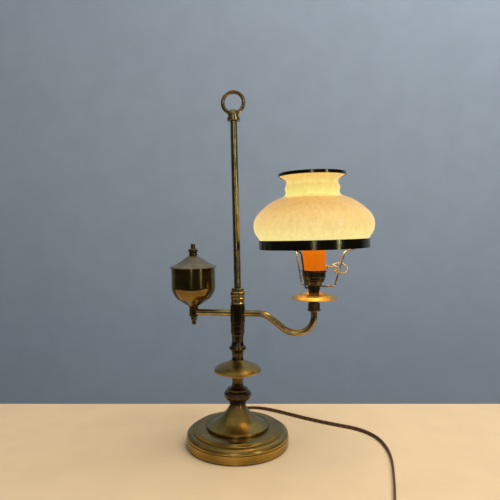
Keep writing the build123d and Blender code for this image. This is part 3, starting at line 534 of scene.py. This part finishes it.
def aged_brass(name, centre_x, dark, gold, rough_low, rough_high, groove_shade):
    """Old brass: a dark olive patina that thins out to gold, turning marks, and painted shade that
    darkens the grooves.
    """
    finish = Finish(name)
    place = finish.place(centre=(centre_x, 0, 0))
    rings = ring_coordinates(finish, place)
    cloud = finish.noise(place, 26.0, 4.0, 0.55)
    bands = finish.noise(rings, 90.0, 3.0, 0.6)
    patina = finish.ramp(finish.mixed(cloud, 0.6, bands), (0.40, dark), (0.66, gold))
    # Painted shade: ambient occlusion darkens the colour in grooves and hollows.
    hollow = finish.node("ShaderNodeAmbientOcclusion", samples=6)
    hollow.inputs["Distance"].default_value = GROOVE_WIDTH
    groove_shade_tone = finish.ramp(hollow.outputs["AO"], (0.35, (1 - groove_shade,) * 3), (0.85, WHITE))
    finish.colour(finish.times(patina, groove_shade_tone))
    spots = finish.noise(place, 160.0, 4.0, 0.65)
    finish.rough(spots, rough_low, rough_high)
    marks = finish.noise(rings, 1600.0, 2.0, 0.5)
    finish.bump(finish.math("ADD", marks, finish.math("MULTIPLY", spots, 0.6)), 0.12, 0.0004)
    finish.plain(Metallic=1.0, Coat_Weight=0.25, Coat_Roughness=0.18)
    return finish.material


def plain_metal(name, colour, roughness, marks=0.05):
    """A plain turned or drawn metal with fine scratches."""
    finish = Finish(name)
    scratch = finish.noise(finish.place(), 700.0, 3.0, 0.6)
    darker = tuple(0.72 * part for part in colour)
    finish.colour(finish.ramp(scratch, (0.35, darker), (0.65, colour)))
    finish.rough(scratch, roughness, roughness + 0.14)
    finish.bump(scratch, marks)
    finish.plain(Metallic=1.0)
    return finish.material


# The lit glass's own light, by height above the band's lower edge in tenths of a metre.
OPAL_LIGHT = [
    (0.12, (1.00, 0.88, 0.34)),  # foot
    (0.24, (1.00, 0.80, 0.31)),
    (0.40, (0.93, 0.64, 0.24)),
    (0.55, (0.72, 0.42, 0.13)),
    (0.68, (0.58, 0.31, 0.09)),  # shoulder, farthest from the bulb
    (0.73, (1.00, 0.90, 0.28)),  # neck
    (0.79, (1.00, 0.84, 0.25)),
    (0.85, (0.94, 0.68, 0.20)),
    (0.89, (1.00, 0.82, 0.25)),
    (0.94, (0.95, 0.64, 0.19)),
    (0.99, (0.90, 0.55, 0.15)),  # flare
]


def lit_opal():
    """Opal glass with the lamp lit behind it: a satin cream skin whose own light is yellow low
    down and in the neck's rings, and more orange under the neck, with a fine pressed grain."""
    finish = Finish("opal_glass")
    centre = (BURNER_X, 0, BAND_FOOT)
    place = finish.place(centre=centre, turn=(0, -SHADE_LEAN, 0))
    height = finish.parts(place)[2]
    light = finish.ramp(finish.math("MULTIPLY", height, 10.0), *OPAL_LIGHT)
    grain = finish.noise(place, 260.0, 3.0, 0.6)
    streaks = finish.noise(finish.place(centre=centre, scale=(1, 1, 3.0)), 240.0)
    mottle = finish.mixed(grain, 0.4, streaks)
    veil = finish.ramp(mottle, (0.32, (0.88, 0.86, 0.84)), (0.62, WHITE))
    finish.glow(finish.times(light, veil))
    finish.colour(finish.ramp(mottle, (0.3, (0.20, 0.13, 0.04)), (0.7, (0.26, 0.18, 0.06))))
    finish.bump(mottle, 0.10, 0.0006)
    finish.plain(Roughness=0.2, Specular_IOR_Level=0.35, Emission_Strength=0.88)
    return finish.material


SLEEVE_FOOT = 0.242
SLEEVE_HEIGHT = 0.040


def glowing_sleeve():
    """Thin orange sleeve of the socket, lit through by the bulb: a painted highlight as a pale
    line at its foot, and brighter near its top edge."""
    finish = Finish("glowing_sleeve")
    centre = (BURNER_X, 0, 0)
    height = finish.parts(finish.place(centre=centre))[2]
    level = finish.math("MULTIPLY_ADD", height, 1 / SLEEVE_HEIGHT, -SLEEVE_FOOT / SLEEVE_HEIGHT)
    # Painted highlight: the pale first stop at the foot is light caught on the rim there.
    light = finish.ramp(level, (0.0, (0.95, 0.48, 0.04)), (0.05, (0.62, 0.13, 0.001)),
                        (0.5, (0.66, 0.14, 0.001)), (1.0, (0.80, 0.20, 0.003)))
    fibres = finish.noise(finish.place(centre=centre, scale=(1, 1, 4)), 420.0)
    veil = finish.ramp(fibres, (0.3, (0.88,) * 3), (0.7, WHITE))
    finish.glow(finish.times(light, veil))
    finish.colour(finish.ramp(fibres, (0.3, (0.16, 0.04, 0.001)), (0.7, (0.20, 0.05, 0.001))))
    finish.bump(fibres, 0.06)
    finish.plain(Roughness=0.5, Specular_IOR_Level=0.15, Emission_Strength=0.95)
    return finish.material


def frosted_bulb():
    """Frosted glass of the lit bulb."""
    finish = Finish("bulb_glow")
    frost = finish.noise(finish.place(), 300.0)
    finish.glow(finish.ramp(frost, (0.3, (1.0, 0.70, 0.32)), (0.7, (1.0, 0.76, 0.40))))
    finish.plain(Base_Color=(0.95, 0.90, 0.80, 1.0), Roughness=0.35, Emission_Strength=14.0)
    return finish.material


def soft_plastic(name, low, high, roughness):
    """Moulded plastic or glaze: two close tones in fine cloud, and a slight grain."""
    finish = Finish(name)
    cloud = finish.noise(finish.place(), 500.0, 3.0, 0.6)
    finish.colour(finish.ramp(cloud, (0.35, low), (0.65, high)))
    finish.rough(cloud, roughness, roughness + 0.15)
    finish.bump(cloud, 0.08)
    return finish.material


SHEEN_STRIPE_TURNS = 110.0  # turns of the painted sheen stripe in a metre


def cord_jacket():
    """Brown jacket: faint lighter stripes of painted sheen that wind slowly along the cord's own
    map.
    """
    finish = Finish("cord_jacket")
    along, around, _ = finish.parts(finish.node("ShaderNodeUVMap", uv_map="along").outputs["UV"])
    winding = finish.math("ADD", finish.math("MULTIPLY", along, SHEEN_STRIPE_TURNS), around)
    wave = finish.math("SINE", finish.math("MULTIPLY", winding, TURN))
    sheen_stripe = finish.math("MULTIPLY_ADD", wave, 0.5, 0.5)
    cloud = finish.noise(finish.place(), 220.0)
    sheen_and_cloud = finish.mixed(sheen_stripe, 0.35, cloud)
    finish.colour(finish.ramp(sheen_and_cloud, (0.3, (0.055, 0.022, 0.010)), (0.7, (0.13, 0.055, 0.025))))
    finish.rough(cloud, 0.36, 0.51)
    finish.bump(sheen_and_cloud, 0.08)
    return finish.material


def felt():
    """Pressed felt: matted fibres, matte with a soft sheen."""
    finish = Finish("felt")
    place = finish.place()
    fibres = finish.noise(place, 1500.0, 5.0, 0.7)
    mats = finish.noise(place, 90.0, 3.0, 0.6)
    pile = finish.mixed(fibres, 0.6, mats)
    finish.colour(finish.ramp(pile, (0.3, (0.015, 0.035, 0.018)), (0.7, (0.045, 0.085, 0.045))))
    finish.bump(fibres, 0.6, 0.0006)
    finish.plain(Roughness=0.95, Sheen_Weight=0.5)
    return finish.material


def dress(material, *names):
    """Puts a material on CAD nodes, by name, or on pieces."""
    for name in names:
        piece = nodes[name] if isinstance(name, str) else name
        if not piece.data.materials:
            piece.data.materials.append(material)
        for slot in piece.material_slots:
            slot.material = material


# The dark and gold tones differ from part to part to match how bright each part looks under the
# light: partly painted light and shade on one brass.
# Each brass: name, axis, dark tone, gold tone, roughness from and to, painted groove shade, and
# its pieces.
BRASSES = [
    ("aged_brass_column", 0.0, (0.24, 0.155, 0.034), (0.52, 0.345, 0.080), 0.25, 0.35, GROOVE_SHADE,
     ["base_shell", "base_bell", "saucer_under", "saucer_top"]),
    ("dark_brass_column", 0.0, (0.030, 0.022, 0.010), (0.095, 0.067, 0.026), 0.13, 0.25, GROOVE_SHADE,
     ["lower_knop", "lower_spool", "collar_spool", "lower_ferrule", "arm_carrier", "center_pipe",
      "swivel_washers"]),
    ("bright_brass_ferrule", 0.0, (0.22, 0.16, 0.055), (0.66, 0.50, 0.18), 0.16, 0.28, GROOVE_SHADE,
     ["upper_ferrule", "pole_bushing"]),
    ("aged_brass_pole", 0.0, (0.22, 0.165, 0.07), (0.55, 0.41, 0.16), 0.14, 0.26, GROOVE_SHADE,
     ["pole", "pole_collar", "carry_ring"]),
    ("aged_brass_font", FONT_X, (0.085, 0.056, 0.016), (0.30, 0.19, 0.045), 0.10, 0.20, GROOVE_SHADE,
     ["font_body", "font_coupling", "font_finial", "font_knob"]),
    ("aged_brass_lid", FONT_X, (0.30, 0.24, 0.14), (0.55, 0.45, 0.27), 0.34, 0.48, GROOVE_SHADE,
     ["font_lid"]),
    ("aged_brass_arm", 0.0, (0.20, 0.15, 0.06), (0.60, 0.46, 0.18), 0.14, 0.26, GROOVE_SHADE,
     ["font_arm_tube", "lamp_arm_tube"]),
    ("dark_brass_burner", BURNER_X, (0.07, 0.05, 0.022), (0.24, 0.17, 0.065), 0.14, 0.26, GROOVE_SHADE,
     ["arm_cup", "burner_stem", "spider_hub", "socket_cap"]),
    # Painted light: the drip tray gets a far lighter brass than the rest, for the bulb's light
    # that falls straight on it.
    ("bulb_lit_brass_tray", BURNER_X, (0.72, 0.42, 0.09), (0.95, 0.64, 0.18), 0.34, 0.46, 0.5,
     ["drip_tray"]),
    ("dark_brass_band", BURNER_X, (0.045, 0.038, 0.018), (0.11, 0.09, 0.04), 0.10, 0.18, GROOVE_SHADE,
     ["shade_band", "shade_rim"]),
    # Painted light and shade: the right and back wires get a lit copy of the brass, the front wire
    # a shaded one.
    ("lit_brass_wire", BURNER_X, (0.30, 0.22, 0.10), (0.85, 0.70, 0.40), 0.20, 0.34, GROOVE_SHADE,
     ["spider_wire_right", "spider_wire_back"]),
    ("shaded_brass_wire", BURNER_X, (0.03, 0.022, 0.012), (0.12, 0.09, 0.045), 0.20, 0.34, GROOVE_SHADE,
     ["spider_wire_front"]),
]
for *brass, pieces in BRASSES:
    dress(aged_brass(*brass), *pieces)

dress(plain_metal("bright_chain", (0.86, 0.74, 0.48), 0.22), "pull_chain", "chain_bellmouth",
      "plug_blades", "terminal_screws", "socket_contact", "bulb_contact")
dress(plain_metal("turned_steel", (0.50, 0.49, 0.47), 0.32), "base_washer", "base_nut",
      "pipe_top_nut", "font_rod", "burner_nipple", "burner_nut")
dress(plain_metal("pressed_shell", (0.72, 0.70, 0.66), 0.30), "socket_screw_shell", "bulb_base")
dress(plain_metal("cast_iron", (0.12, 0.115, 0.11), 0.62, 0.4), "base_weight")
dress(lit_opal(), "shade_glass")
dress(glowing_sleeve(), "socket_sleeve")
dress(frosted_bulb(), "bulb_glass")
dress(soft_plastic("porcelain", (0.74, 0.72, 0.66), (0.80, 0.78, 0.73), 0.12),
      "socket_insulator")
dress(soft_plastic("wire_insulation", (0.22, 0.18, 0.12), (0.34, 0.28, 0.19), 0.45),
      "column_wire", "arm_wire")
dress(felt(), "base_felt")
dress(cord_jacket(), cord_piece)
dress(soft_plastic("relief_plastic", (0.040, 0.020, 0.012), (0.075, 0.038, 0.022), 0.42), relief)
dress(soft_plastic("plug_plastic", (0.05, 0.026, 0.015), (0.085, 0.045, 0.026), 0.28), plug)
dress(soft_plastic("tie_plastic", (0.05, 0.05, 0.05), (0.08, 0.08, 0.08), 0.4), tie)

# ------------------------------------------------------------------------ table and wall

# In metres behind the column, to its sides and up, as the camera looks at it. The table ends a
# short way in front, so that upright brass mirrors the dim room.
TABLE_BACK = 0.157
TABLE_FRONT = -0.42
TABLE_SIDE = 0.9
TABLE_COLOUR = (0.70, 0.52, 0.31)
WALL_BACK = 0.75
WALL_SIDE = 4
WALL_FOOT = -2
WALL_TOP = 3
WALL_COLOUR = (0.36, 0.43, 0.52)
SIDEWAYS = np.array([cos(CAMERA_TURN), sin(CAMERA_TURN), 0])
AWAY = np.array([-sin(CAMERA_TURN), cos(CAMERA_TURN), 0])


def stage_sheet(name, side, near, far, colour, roughness):
    """A flat sheet that isn't part of the object, between two edges that each lie so far behind
    the column and so high."""
    corners = [
        AWAY * away + SIDEWAYS * across + (0, 0, height)
        for (away, height), across in ((near, -side), (near, side), (far, side), (far, -side))
    ]
    sheet = mesh_piece(name, np.array(corners), [[0, 1, 2, 3]], smooth=False)
    finish = Finish(name)
    cloud = finish.noise(finish.place(), 14.0, 4.0)
    lighter = tuple(part * 1.04 for part in colour)
    finish.colour(finish.ramp(cloud, (0.4, colour), (0.6, lighter)))
    finish.plain(Roughness=roughness)
    dress(finish.material, sheet)


stage_sheet("table", TABLE_SIDE, (TABLE_FRONT, 0), (TABLE_BACK, 0), TABLE_COLOUR, 0.6)
stage_sheet("wall", WALL_SIDE, (WALL_BACK, WALL_FOOT), (WALL_BACK, WALL_TOP), WALL_COLOUR, 0.9)

# ------------------------------------------------------------------------ light

# A dim room round the lamp under a pale ceiling: colours by the share of the way from straight
# down to straight up.
ROOM_STOPS = [
    (0.50, (0.040, 0.042, 0.048)),
    (0.62, (0.075, 0.075, 0.080)),
    (0.82, (0.34, 0.33, 0.32)),
    (1.0, (0.60, 0.58, 0.54)),
]


def soft_room():
    """The world: a plain ramp of colours from the floor's side up to the ceiling's."""
    world = bpy.data.worlds.new("soft_room")
    scene.world = world
    world.use_nodes = True
    tree = world.node_tree
    direction = tree.nodes.new("ShaderNodeTexCoord")
    upward = tree.nodes.new("ShaderNodeSeparateXYZ")
    above = tree.nodes.new("ShaderNodeMapRange")
    above.inputs["From Min"].default_value = -1.0
    room = tree.nodes.new("ShaderNodeValToRGB")
    for stop, _ in ROOM_STOPS[1:-1]:
        room.color_ramp.elements.new(stop)
    for element, (stop, colour) in zip(room.color_ramp.elements, ROOM_STOPS):
        element.position = stop
        element.color = (*colour, 1.0)
    tree.links.new(direction.outputs["Generated"], upward.inputs[0])
    tree.links.new(upward.outputs["Z"], above.inputs["Value"])
    tree.links.new(above.outputs["Result"], room.inputs["Fac"])
    tree.links.new(room.outputs["Color"], tree.nodes["Background"].inputs["Color"])


def soft_lamp(name, place, aim, size, power, colour):
    """An area light, so wide and so high, that looks at a point."""
    data = bpy.data.lights.new(name, "AREA")
    data.shape = "RECTANGLE"
    data.size, data.size_y = size
    data.energy = power
    data.color = colour
    lamp = bpy.data.objects.new(name, data)
    scene.collection.objects.link(lamp)
    lamp.location = place
    x, y, z = np.array(place) - np.array(aim)
    tilt = float(np.arctan2(float(np.hypot(x, y)), z))
    lamp.rotation_euler = (tilt, 0, float(np.arctan2(y, x)) + pi / 2)
    return lamp


LAMP_MIDDLE = (0.1, 0, 0.35)
CEILING_COLOUR = (1.0, 0.97, 0.92)
FRONT_COLOUR = (0.92, 0.96, 1.0)
RIGHT_COLOUR = (0.94, 1.0, 0.96)

soft_room()
ceiling = soft_lamp("ceiling", (0.9, 0.0, 2.0), (0.0, 0.0, 0.0), (2.2, 2.2), 58.0, CEILING_COLOUR)
ceiling.visible_glossy = False
soft_lamp("window_front", (0.17, -3.2, 0.85), LAMP_MIDDLE, (0.14, 1.5), 5.0, FRONT_COLOUR)
soft_lamp("window_right", (2.4, -1.85, 0.85), LAMP_MIDDLE, (0.14, 1.5), 8.0, RIGHT_COLOUR)
